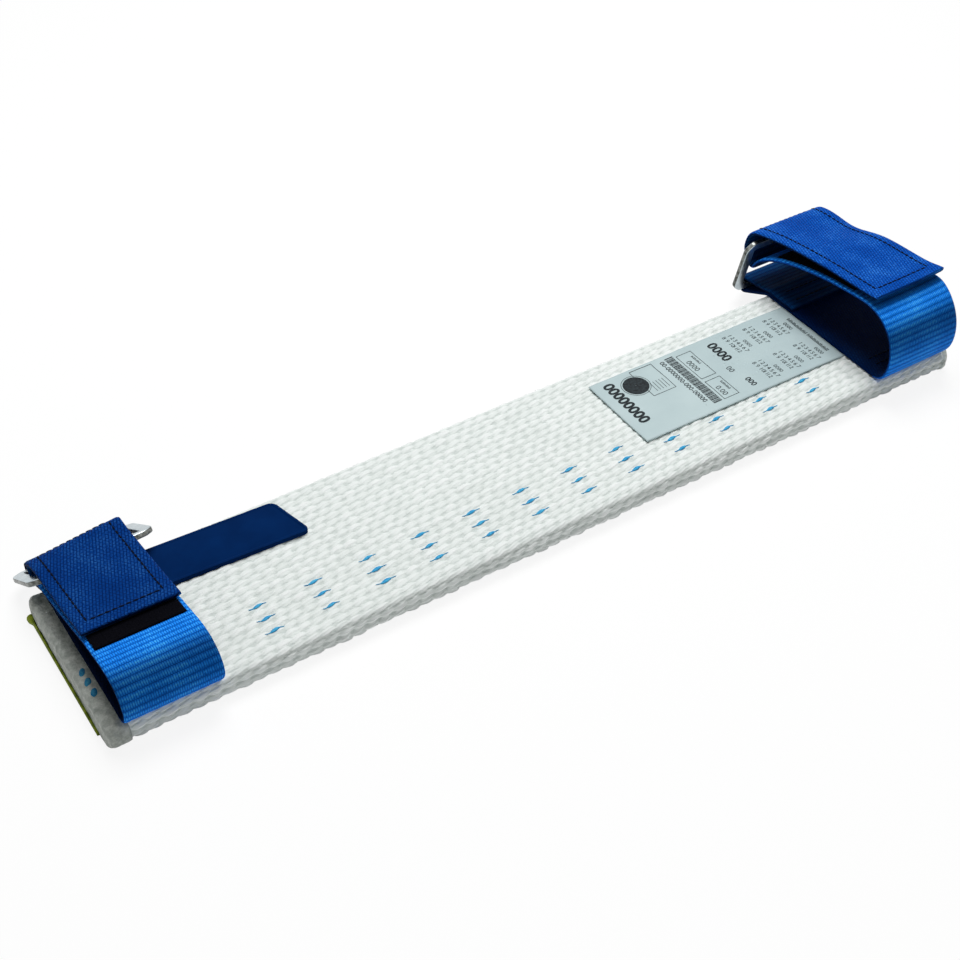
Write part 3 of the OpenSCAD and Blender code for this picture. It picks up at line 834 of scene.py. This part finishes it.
for side, s in SIDES.items():
    bm = bmesh.new()
    turned_over = len(s["fold"]) * 3 // 4
    stations = measured(s["fold"][turned_over:] + s["flap"][1:])
    length = stations[-1][0]
    count = int((length - TIP_SEAM) / STITCH_PITCH)
    for i in range(count):
        u = length - TIP_SEAM - STITCH_PITCH * (i + 0.5)
        for across in (-HALF_SEAM, HALF_SEAM):
            sew(bm, *flap_spot(side, stations, u, across))
    for across in row_x:
        for u in (0.0, length - TIP_SEAM):
            spot, along, out = flap_spot(side, stations, u, across)
            sew(bm, spot, Vector((1, 0, 0)), out)
    seam = keep(side + "_flap_seam", bm, thread)
    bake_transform(seam)
    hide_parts(side + "_flap_stitches")
    bm = bmesh.new()
    for y, plies in base_rows:
        for across in row_x:
            spot = Vector((s["x"] + across, y, PAD_T + plies * STRAP_T + PROUD))
            sew(bm, spot, Vector((1, 0, 0)), Vector((0, 0, 1)))
    seam = keep(side + "_base_seam", bm, thread)
    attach(seam, "pad")
    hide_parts(side + "_base_stitches")
    print(side, "stitches:", 2 * count + (2 + len(base_rows)) * wide)

# %% [markdown]
# ## Ring steel
# The rings are stamped from steel plate and tumbled. Tumbling leaves the faces bright and softly
# scuffed. The sheared walls are rougher and drawn darker, partly for the shear and partly as
# painted shade for the dark things they reflect, so the two have a material each. The scuffs
# change the gloss as well as the colour.

# %% Stamped steel
# The eye sees a soft grey gleam that breaks up in scuffs about 3 mm wide.
steel, tree, shader, scuff = mottled("tumbled_steel", 2.857, 4, (0.3, "#a6b1b6"), (0.7, "#c4ced2"),
                                     Metallic=1.0, Roughness=0.4)
feed(tree, scuff.node, Roughness=0.65)
gloss = add(tree, "ShaderNodeMapRange", Value=scuff, To_Min=0.24, To_Max=0.45).outputs[0]
dents = add(tree, "ShaderNodeBump", Strength=0.12, Distance=0.2 * MM, Height=scuff)
feed(tree, shader, Roughness=gloss, Normal=dents.outputs["Normal"])
# The eye sees a darker grey, streaked by the shear, with painted shade for what the walls reflect.
sheared_and_shaded_edge = mottled("sheared_and_shaded_steel_edge", 2.0, 3, (0.35, "#3c3e3a"), (0.7, "#8b8e8b"),
                  Metallic=1.0, Roughness=0.35)[0]
print("made", steel.name, "and", sheared_and_shaded_edge.name)

# %% [markdown]
# ## Rings
# Each ring has a long slot, cut corners, and edges that the tumbler has rounded. The outline and
# the slot are filled as one face, which is extruded to the plate's thickness and bevelled. It is
# made flat and then stood up at its lean by the same turn as in the CAD.

# %% Rings
SLOT_L, CORNER = STRAP_W + 4.4, 4.5
RING_L, RING_H, SLOT_H = SLOT_L + 2 * RING_END, RING_PITCH + RING_BAR, RING_PITCH - RING_BAR
CORNER_R, TUMBLED_R = 1.6, 0.7


def thicken_face(bm, thick):
    """Extrude every face of a flat mesh to a plate so many mm thick."""
    body = bmesh.ops.extrude_face_region(bm, geom=bm.faces[:])
    raised = [v for v in body["geom"] if isinstance(v, bmesh.types.BMVert)]
    bmesh.ops.translate(bm, verts=raised, vec=(0, 0, thick * MM))


def round_off(bm, geom, size, segments, affect="EDGES"):
    bmesh.ops.bevel(bm, geom=geom, offset=size * MM, affect=affect, segments=segments,
                    profile=0.5, material=-1)


for side, s in SIDES.items():
    bm = bmesh.new()
    a, h, c = RING_L / 2, RING_H, CORNER
    outer = [(c - a, 0), (a - c, 0), (a, c), (a, h - c),
             (a - c, h), (c - a, h), (-a, h - c), (-a, c)]
    b, low, high = SLOT_L / 2, RING_BAR, RING_BAR + SLOT_H
    inner = [(-b, low), (b, low), (b, high), (-b, high)]
    edges = []
    for outline in (outer, inner):
        verts = [bm.verts.new((x * MM, (y - RING_BAR / 2) * MM, -RING_T / 2 * MM))
                 for x, y in outline]
        edges += [bm.edges.new(pair) for pair in zip(verts, verts[1:] + verts[:1])]
    bmesh.ops.triangle_fill(bm, use_beauty=True, use_dissolve=True, edges=edges)
    thicken_face(bm, RING_T)
    bmesh.ops.recalc_face_normals(bm, faces=bm.faces)
    round_off(bm, [e for e in bm.edges if abs(e.verts[0].co.z - e.verts[1].co.z) > MM],
              CORNER_R, 4)
    round_off(bm, [e for e in bm.edges if len(e.link_faces) == 2 and e.calc_face_angle() > 0.9],
              TUMBLED_R, 3)
    bmesh.ops.recalc_face_normals(bm, faces=bm.faces)
    # Walls take the darker steel: sheared finish and painted shade.
    for wall in bm.faces:
        wall.material_index = int(abs(wall.normal.z) < 0.3)
    turn = Matrix.Rotation(math.radians(90 + s["lean"]), 4, "X")
    spot = Matrix.Translation(Vector((s["x"], s["lower"].x, s["lower"].y)) * MM)
    bmesh.ops.transform(bm, matrix=spot @ turn, verts=bm.verts)
    if side == "left":
        bmesh.ops.rotate(bm, cent=spot.translation, verts=bm.verts,
                         matrix=Matrix.Rotation(LEFT_YAW, 3, "Z"))
    ring = keep(side + "_steel_ring", bm, steel, sharp=35)
    ring.data.materials.append(sheared_and_shaded_edge)
    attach(ring, side + "_ring")
    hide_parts(side + "_ring")
    print(ring.name, len(ring.data.polygons), "faces")

# %% [markdown]
# ## Marker yarn
# Light blue yarns float over every fourth rib in three rows, so that wear shows. The yarn is the
# same as the white one but dyed, and in the left end the resin has soaked into it and darkens it.

# %% Marker yarn
# The eye sees a clear, dull light blue, streaked along the yarn.
marker, tree, shader = material("light_blue_yarn", Roughness=0.6, Specular_IOR_Level=0.15)
where = add(tree, "ShaderNodeTexCoord").outputs["Object"]
streak = add(tree, "ShaderNodeTexNoise", Vector=where, Scale=grain(1.111)).outputs["Fac"]
blues = {"stops": [(0.3, "#2288c6"), (0.7, "#4fb6dc")]}
tint = add(tree, "ShaderNodeValToRGB", blues, Fac=streak).outputs["Color"]
spot = add(tree, "ShaderNodeSeparateXYZ", Vector=where).outputs["X"]
soak = add(tree, "ShaderNodeMapRange", Value=spot, From_Min=-0.24, From_Max=-0.2,
           To_Min=0.55, To_Max=1.0).outputs[0]
tint = add(tree, "ShaderNodeVectorMath", {"operation": "SCALE"}, _0=tint, Scale=soak).outputs[0]
feed(tree, shader, Base_Color=tint)
print("made", marker.name)

# %% [markdown]
# ## Marker floats
# Each float is a spindle that rides on top of its bump of the weave and dives at both ends. It
# starts as a sphere, which is drawn out along the row and laid on the height of the weave. No
# float is made where the label covers the pad. Three soaked ends show in the left seal.

# %% Marker floats
LABEL_L, LABEL_W, LABEL_IN = 135.0, 52.5, 17.0
LABEL_END = SIDES["right"]["x"] - STRAP_W / 2
LABEL = dict(x0=LABEL_END - LABEL_L, x1=LABEL_END,
             y0=BACK_Y - LABEL_IN - LABEL_W, y1=BACK_Y - LABEL_IN)
MARK_Y, MARK_END, MARK_STEP, FLOAT_R = -34.8, 190, 4 * RIB, 5.2
TOP_START = FLAT / 2 + 2 * TURN + SIDE
first_row = round((TOP_START + FLAT / 2 - MARK_Y) / ROW - 0.5)


def spindle(bm, x, y, v, size):
    """One float on the row that is v mm round the pad."""
    ball = bmesh.ops.create_uvsphere(bm, u_segments=8, v_segments=16, radius=1.0,
                                     matrix=Matrix.Rotation(math.pi / 2, 4, "Y"))["verts"]
    for vert in ball:
        a, b, c = vert.co
        slim = math.sqrt(max(1e-6, 1 - a * a))
        lens = 0.17 + 0.9 * max(0.0, 1 - (a / 0.55) ** 2) * size
        px = x + a * FLOAT_R * size
        py = y + 0.35 * math.sin(a * 3.0) + b / slim * min(slim * 2, 1.0) * lens
        crest = PAD_T - WEAVE_DEPTH * (1 - weave(px, v)) * (1 - 0.35 * a * a)
        vert.co = Vector((px, py, max(crest, PAD_T - 0.9) + 0.12 + 0.4 * c)) * MM


bm = bmesh.new()
floats = 0
for k in range(3):
    row = first_row - 2 * k
    v = (row + 0.5) * ROW
    y = girth_point(v)[0]
    lag = LAG if row % 2 else 0.0
    for i in range(13):
        x = MARK_X + lag + MARK_STEP * i
        if x > MARK_END or (x + 6 > LABEL["x0"] and y + 1.5 > LABEL["y0"]):
            continue
        spindle(bm, x, y, v, 1 + 0.25 * noise.noise(Vector((i * 1.7, k * 3.1, 0))))
        floats += 1
for y in (-10.5, -17.0, -24.0):
    stand = Matrix.Diagonal((MM, MM, MM, 1)) @ Matrix.Translation((-245.0, y, PAD_T + 0.1))
    lie = Matrix.Rotation(math.radians(65), 4, "Z") @ Matrix.Diagonal((2.8, 1.6, 1.0, 1))
    bmesh.ops.create_uvsphere(bm, u_segments=12, v_segments=8, radius=1.0, matrix=stand @ lie)
    floats += 1
markers = keep("marker_yarn_floats", bm, marker)
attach(markers, "pad")
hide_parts("marker_yarns")
print("marker floats:", floats)

# %% [markdown]
# ## End tape
# A yellow-green tape lies along the foot of the left end and is folded over at the back, where it
# stands up as a round bead. A narrow strip follows that line, taller at the fold.

# %% End tape
# The eye sees a dull yellow-green, faded in patches about 4 mm wide.
lime, tree, shader, patches = mottled("yellow_green_tape", 3.846, 3, (0.3, "#56690a"),
                                      (0.7, "#98a82c"), Roughness=0.6, Specular_IOR_Level=0.2)
creases = add(tree, "ShaderNodeBump", Strength=0.4, Distance=0.4 * MM, Height=patches)
feed(tree, shader, Normal=creases.outputs["Normal"])
END_TAPE_L, END_TAPE_GIRTH, END_TAPE_Y = 82.4, 10.0, -36.0
BEAD_Y, BEAD_R, BEAD_H = 44.0, 2.4, 5.4


def tape_place(u, v):
    y = END_TAPE_Y + u
    bead = 0.0
    if y > BEAD_Y - BEAD_R:
        bead = math.sqrt(max(0.0, 1 - ((y - BEAD_Y) / BEAD_R) ** 2))
    tall = BEAD_H * bead
    if y <= BEAD_Y:
        tall = (0.8 + 3.4 * (u / END_TAPE_L) ** 1.6) * (1 - bead) + tall
    turn = 2 * math.pi * v / END_TAPE_GIRTH
    width = 0.7 + 1.5 * bead
    z = 0.2 + tall / 2 + tall / 2 * math.sin(turn)
    return ((-PAD_L / 2 - 0.1 + width * math.cos(turn), y, max(z, 0.1)),)


bm = strip(END_TAPE_L, END_TAPE_GIRTH, 90, 12, tape_place)
tape = keep("end_tape_strip", bm, lime)
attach(tape, "pad")
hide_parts("end_tape")
print("end tape", END_TAPE_L, "mm")

# %% [markdown]
# ## Badge plastic
# The badge is moulded in soft navy plastic, with the fine grain of its mould on it. In the studio
# its gloss would only show the white room, so it is nearly all left out.

# %% Moulded plastic
# The eye sees a flat, deep navy with a faint grain, drawn a little coarser than the real one.
navy, tree, shader, _ = mottled("moulded_navy_plastic", 12.5, 3, (0.3, "#01204e"),
                                (0.7, "#022658"), Roughness=0.5, Specular_IOR_Level=0.01)
where = add(tree, "ShaderNodeTexCoord").outputs["Object"]
grit = add(tree, "ShaderNodeTexNoise", Vector=where, Scale=grain(0.4545)).outputs["Fac"]
bump = add(tree, "ShaderNodeBump", Strength=0.15, Distance=0.2 * MM, Height=grit).outputs["Normal"]
feed(tree, shader, Normal=bump)
print("made", navy.name)

# %% [markdown]
# ## Badge
# A plate with one slanting end and a raised rim, sewn or welded to the pad beside the strap. The
# outline is one face: its corners are rounded with a bevel, it is extruded, and an inset sinks
# the middle.

# %% Badge
BADGE_L, BADGE_W, BADGE_T, BADGE_SLANT, SUNK = 78.0, 27.0, 2.2, 8.0, 0.4
BADGE_X, BADGE_Y = SIDES["left"]["x"] + STRAP_W / 2, BACK_Y - 33
RIM_W, RIM_H, BADGE_TURN = 1.3, 0.35, math.radians(-2.5)
bm = bmesh.new()
outline = [(0, 0), (BADGE_L, 0), (BADGE_L - BADGE_SLANT, BADGE_W), (0, BADGE_W)]
bm.faces.new([bm.verts.new(((BADGE_X + x) * MM, (BADGE_Y + y) * MM, (PAD_T - SUNK) * MM))
              for x, y in outline])
round_off(bm, bm.verts[:], 3.5, 8, "VERTICES")
thicken_face(bm, BADGE_T + SUNK)
face = max(bm.faces, key=lambda f: f.calc_center_median().z)
bmesh.ops.inset_region(bm, faces=[face], thickness=RIM_W * MM, depth=0)
bmesh.ops.inset_region(bm, faces=[face], thickness=RIM_H * MM, depth=-RIM_H * MM)
round_off(bm, [e for e in bm.edges if len(e.link_faces) == 2 and e.calc_face_angle() > 0.6],
          0.28, 3)
middle = Vector((BADGE_X + BADGE_L / 2, BADGE_Y + BADGE_W / 2, PAD_T)) * MM
bmesh.ops.rotate(bm, cent=middle, matrix=Matrix.Rotation(BADGE_TURN, 3, "Z"), verts=bm.verts)
badge = keep("navy_badge", bm, navy, sharp=40)
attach(badge, "pad")
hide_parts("badge")
print("badge faces:", len(badge.data.polygons))

# %% [markdown]
# ## Inspection label
# A thin film label is sewn down by one end under the strap. It follows the bumps of the weave a
# little and lifts at its free edges. A grid gives it that wave, and a Solidify modifier its
# thickness.

# %% Label film
# The eye sees pale blue-grey film, soiled in wide, faint clouds.
film = mottled("printed_film", 33.33, 4, (0.3, "#b0c2c5"), (0.7, "#bdced0"),
               Roughness=0.45, Specular_IOR_Level=0.12)[0]


def label_z(x, y):
    """Height of the film's upper face."""
    wave = 0.22 * noise.noise(Vector((x * 0.06, y * 0.09, 4.0)))
    edge = min(x - LABEL["x0"], y - LABEL["y0"], LABEL["y1"] - y)
    lift = 0.9 * max(0.0, 1 - edge / 7.0) ** 2
    return PAD_T + 0.12 + wave + 0.25 + 0.55 * lift * min(1.0, (LABEL["x1"] - x) / 20)


bm = bmesh.new()
bmesh.ops.create_grid(bm, x_segments=90, y_segments=36, size=0.5)
for vert in bm.verts:
    x = LABEL["x0"] + (vert.co.x + 0.5) * LABEL_L
    y = LABEL["y0"] + (vert.co.y + 0.5) * LABEL_W
    vert.co = Vector((x, y, label_z(x, y))) * MM
label = keep("inspection_label_film", bm, film)
thicken = label.modifiers.new("film", "SOLIDIFY")
thicken.thickness, thicken.offset = 0.5 * MM, -1
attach(label, "pad")
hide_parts("inspection_label")
print("label", LABEL)

# %% [markdown]
# ## Marks for the print
# Flat shapes laid just over the film are sharper than a texture. Each is drawn flat, at a place
# that is measured down the label from the strap and across it from the back edge.

# %% Marks for the print
# The eye sees black ink, worn to dark grey in specks.
ink = mottled("black_print", 1.4286, 2, (0.3, "#14181b"), (0.75, "#2f383c"),
              Roughness=0.5, Specular_IOR_Level=0.1)[0]
LINE, STROKE, STROKE_PITCH = 0.35, 0.5, 0.9
bm = bmesh.new()


def on_label(down, across):
    """A place on the print: mm down from the strap's end and across from the back edge."""
    return LABEL["x1"] - down, LABEL["y1"] - across


def bar(down, across, tall, wide):
    x1, y1 = on_label(down, across)
    made = bmesh.ops.create_grid(bm, x_segments=max(1, round(tall / 2)),
                                 y_segments=max(1, round(wide / 2)), size=0.5)
    for vert in made["verts"]:
        vert.co = Vector((x1 - (0.5 - vert.co.x) * tall, y1 - (0.5 - vert.co.y) * wide, 0))


def box(down, across, tall, wide):
    bar(down, across, LINE, wide)
    bar(down + tall - LINE, across, LINE, wide)
    bar(down, across, tall, LINE)
    bar(down, across + wide - LINE, tall, LINE)


def strokes(down, across, tall, *lengths):
    """A line of plain strokes, one in three of them shorter."""
    for wide in lengths:
        for k in range(round(wide / STROKE_PITCH)):
            short = k % 3 == 1
            bar(down + 0.3 * tall * short, across + STROKE_PITCH * k,
                tall * (0.7 if short else 1.0), STROKE)
        across += wide + 1.0


def hoop(down, across, outer, inner):
    loops = [bmesh.ops.create_circle(bm, segments=40, radius=r)["verts"] for r in (outer, inner)]
    edges = list({e for verts in loops for v in verts for e in v.link_edges})
    bmesh.ops.bridge_loops(bm, edges=edges)
    x, y = on_label(down, across)
    bmesh.ops.translate(bm, verts=loops[0] + loops[1], vec=(x, y, 0))


print("made", ink.name)

# %% [markdown]
# ## Figures for the print
# Figures come from a text object. It is turned into a mesh before it is placed, and joins the
# other marks in the same bmesh, so that the whole print is one piece.

# %% Figures for the print


def number(text, down, across, size, bold=0.0):
    """Figures whose first one starts at this place, with their feet down the label."""
    curve = bpy.data.curves.new("number", "FONT")
    curve.body, curve.size, curve.offset, curve.resolution_u = text, size, bold, 3
    holder = bpy.data.objects.new("number", curve)
    bpy.context.collection.objects.link(holder)
    x, y = on_label(down, across)
    before = len(bm.verts)
    bm.from_mesh(holder.to_mesh())
    bm.verts.ensure_lookup_table()
    for vert in bm.verts[before:]:
        vert.co = Vector((x + vert.co.y, y - vert.co.x, 0))
    holder.to_mesh_clear()
    bpy.data.objects.remove(holder)
    bpy.data.curves.remove(curve)


print("marks so far:", len(bm.faces))

# %% [markdown]
# ## Print on the label
# The print is plain: six grids with the numbers of the months to tick off, two framed fields, a
# strip of bars, a disc in a ring, and noughts for figures. At the end one loop lifts all of it to
# the film, so that it follows the film's wave.

# %% Print on the label
strokes(3.6, 10.5, 2.2, 16.0, 17.0)
for column in (4.2, 30.4):
    for block in (14.6, 29.0, 43.6):
        for n in range(12):
            line, spot = divmod(n, 7)
            gap = 2.55 if line == 0 else 3.0
            number(str(n + 1), block + 3.9 * line, column + gap * spot, 3.7)
        number("0000", block - 4.4, column + 8.0, 3.4)
number("0000", 59.0, 5.0, 8.4, 0.26)
number("00", 62.4, 26.0, 5.0)
number("000", 59.6, 39.0, 5.0, 0.1)
for across, wide, figures in ((4.0, 23.0, "0000"), (29.6, 17.2, "0.00")):
    box(69.2, across, 10.2, wide)
    strokes(70.6, across + 4.0, 1.5, 8.0)
    number(figures, 77.6, across + 6.5, 4.8)
across = 2.6
for k in range(52):
    wide = 0.42 + 0.3 * ((k * 7) % 3 == 0)
    bar(80.9, across, 5.4, wide)
    across += wide + 0.28 + 0.2 * ((k * 5) % 4 == 0)
number("00-0000000-000-00000", 90.4, 3.4, 4.2, 0.04)
box(94.6, 1.6, 15.0, 23.0)
for k in range(5):
    bar(97.0 + 2.0 * k, 14.5, 0.3, 7.5)
for outer, inner in ((8.3, 8.0), (7.3, 5.4), (5.4, 3.5), (3.5, 1.7), (1.7, 0.1)):
    hoop(112.6, 12.4, outer, inner)
number("00000000", 128.6, 3.4, 9.0, 0.34)
for vert in bm.verts:
    x, y = vert.co.x, vert.co.y
    vert.co = Vector((x, y, label_z(x, y) + 0.06)) * MM
for face in bm.faces:
    if face.normal.z < 0:
        face.normal_flip()
printed = keep("label_print", bm, ink, laid=True)
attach(printed, "pad")
print("print faces:", len(printed.data.polygons))

# %% [markdown]
# ## Floor
# The photograph has a white ground with a faint shadow. To the eye the floor is mostly plain
# white, so that only the shadow is left of the light on it, and to the object it is a matte
# sheet that throws light back up.

# %% Floor
# The eye sees white paper with a faint shadow.
floor_paper = bpy.data.materials.new("white_floor")
floor_paper.use_nodes = True
tree = floor_paper.node_tree
tree.nodes.clear()


def seen_rays(tree):
    """1 for rays that show a thing to the eye, directly or in something shiny or clear."""
    path = add(tree, "ShaderNodeLightPath").outputs
    seen = path["Is Camera Ray"]
    for kind in ("Is Glossy Ray", "Is Transmission Ray"):
        seen = add(tree, "ShaderNodeMath", {"operation": "MAXIMUM"}, _0=seen, _1=path[kind])
        seen = seen.outputs[0]
    return seen


seen = seen_rays(tree)
share = add(tree, "ShaderNodeMath", {"operation": "MULTIPLY"}, _0=seen, _1=0.88).outputs[0]
grey = add(tree, "ShaderNodeMapRange", Value=seen, To_Min=0.95, To_Max=1.0).outputs[0]
matte = add(tree, "ShaderNodeBsdfDiffuse", Color=grey).outputs[0]
white = add(tree, "ShaderNodeEmission", Color=(1, 1, 1, 1), Strength=1.0).outputs[0]
mix = add(tree, "ShaderNodeMixShader", _0=share, _1=matte, _2=white).outputs[0]
add(tree, "ShaderNodeOutputMaterial", Surface=mix)
FLOOR_HALF, FLOOR_DROP = 4.0, 0.4
bm = bmesh.new()
bmesh.ops.create_grid(bm, x_segments=4, y_segments=4, size=FLOOR_HALF)
bmesh.ops.translate(bm, verts=bm.verts, vec=(0, 0, -FLOOR_DROP * MM))
floor = keep("floor", bm, floor_paper)
floor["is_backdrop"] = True
print("floor", 2 * FLOOR_HALF, "m wide")

# %% [markdown]
# ## Light
# A large soft lamp hangs above the pad and a little behind it, so that the tops are bright and
# the shadows fall forward. A weak one at the front left lifts the dark sides. The world is pale
# and dim as a light, and plain white where it is seen.

# %% World and lamps
world = bpy.data.worlds.new("studio")
world.use_nodes = True
tree = world.node_tree
tree.nodes.clear()
soft = add(tree, "ShaderNodeBackground", Color=(0.95, 1, 0.97, 1), Strength=0.12).outputs[0]
shown = add(tree, "ShaderNodeBackground", Color=(1, 1, 1, 1), Strength=1.0).outputs[0]
mix = add(tree, "ShaderNodeMixShader", _0=seen_rays(tree), _1=soft, _2=shown).outputs[0]
add(tree, "ShaderNodeOutputWorld", Surface=mix)
bpy.context.scene.world = world
for name, spot, watts in (("key_softbox", (0.2, 0.35, 1.35), 20),
                          ("fill_softbox", (-0.6, -1.0, 0.45), 1.2)):
    light = bpy.data.lights.new(name, "AREA")
    light.size, light.energy = 0.8, watts
    lamp = bpy.data.objects.new(name, light)
    lamp.location = spot
    lamp.rotation_euler = (-Vector(spot)).to_track_quat("-Z", "Y").to_euler()
    bpy.context.collection.objects.link(lamp)
bpy.context.scene.view_settings.view_transform = "Standard"

# %% Size of what is drawn
low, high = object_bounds()
print("visual box", [round(c / MM, 1) for c in low], [round(c / MM, 1) for c in high])
